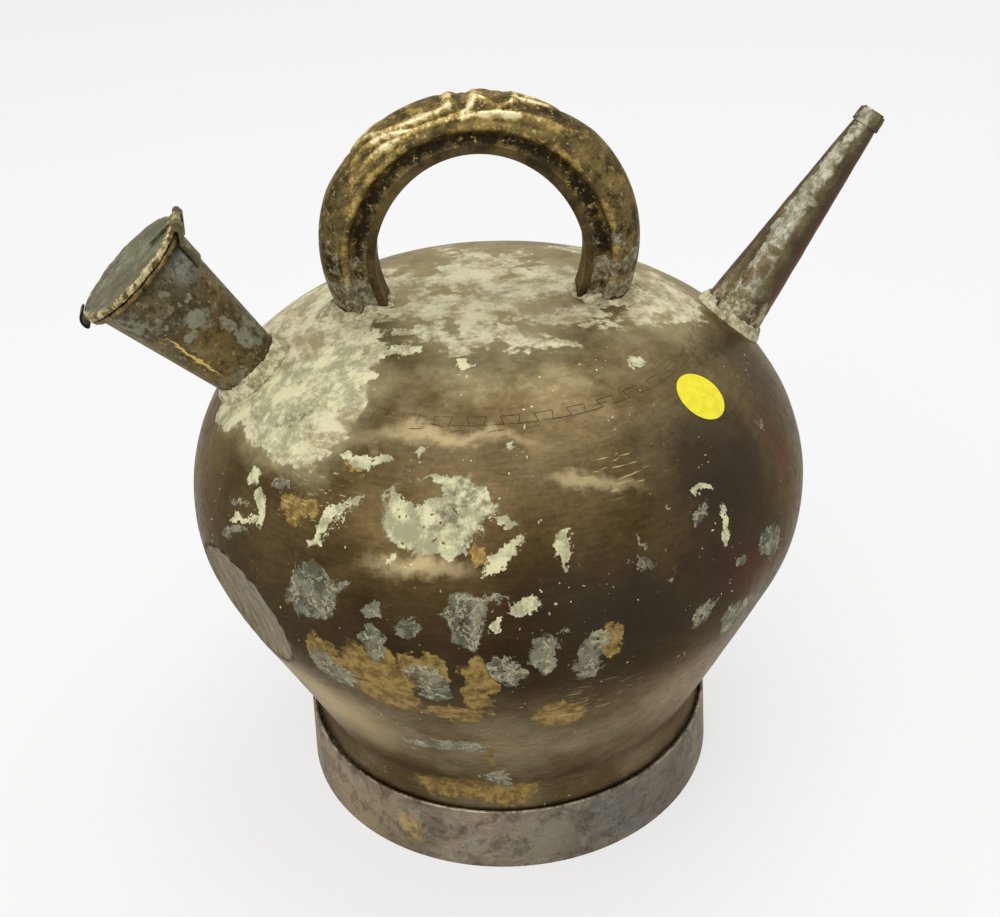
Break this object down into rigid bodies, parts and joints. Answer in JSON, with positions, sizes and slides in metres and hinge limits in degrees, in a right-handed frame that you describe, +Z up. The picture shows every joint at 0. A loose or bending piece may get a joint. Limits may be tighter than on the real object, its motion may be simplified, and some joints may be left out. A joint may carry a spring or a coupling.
{
  "type": "water can",
  "caption": "Squat globular brass water can on a foot ring, with a ring handle, a wide filler closed by a hinged lid and a long tapered pouring spout.",
  "frame": {"origin": "centre of the foot ring on the standing plane", "axes": "+Z up; +X towards the pouring spout, with the filler and its lid at -X; the lid's hinge runs along Y"},
  "size_m": [0.3368, 0.271, 0.324],
  "materials": {
    "body_brass": "old patinated",
    "foot_tinned": "tinned, worn",
    "solder": "dull solder",
    "filler_brass": "dark patinated",
    "spout_brass": "dark patinated",
    "handle_brass": "rubbed",
    "lid_brass": "green-grey patinated",
    "hinge_brass": "dark patinated"
  },
  "bodies": {
    "can": {"lower_body": "body_brass", "shoulder_dome": "body_brass", "bottom_plate": "body_brass", "foot_ring": "foot_tinned", "foot_solder": "solder", "filler_funnel": "filler_brass", "filler_rim_wire": "filler_brass", "filler_solder": "solder", "pouring_spout": "spout_brass", "spout_tip_ring": "spout_brass", "spout_solder": "solder", "handle_outer_shell": "handle_brass", "handle_inner_strip": "handle_brass", "handle_solder_filler_side": "solder", "handle_solder_spout_side": "solder", "hinge_fixed_leaf": "hinge_brass", "hinge_pin": "hinge_brass"},
    "lid": {"lid_plate": "lid_brass", "lid_hinge_leaf": "hinge_brass", "thumb_lift": "lid_brass"}
  },
  "joints": [
    {"name": "lid_hinge", "type": "hinge", "parent": "can", "child": "lid", "pos_m": [-0.12259, 0, 0.28374], "axis": [0, 1, 0], "range_deg": [0, 140]}
  ]
}
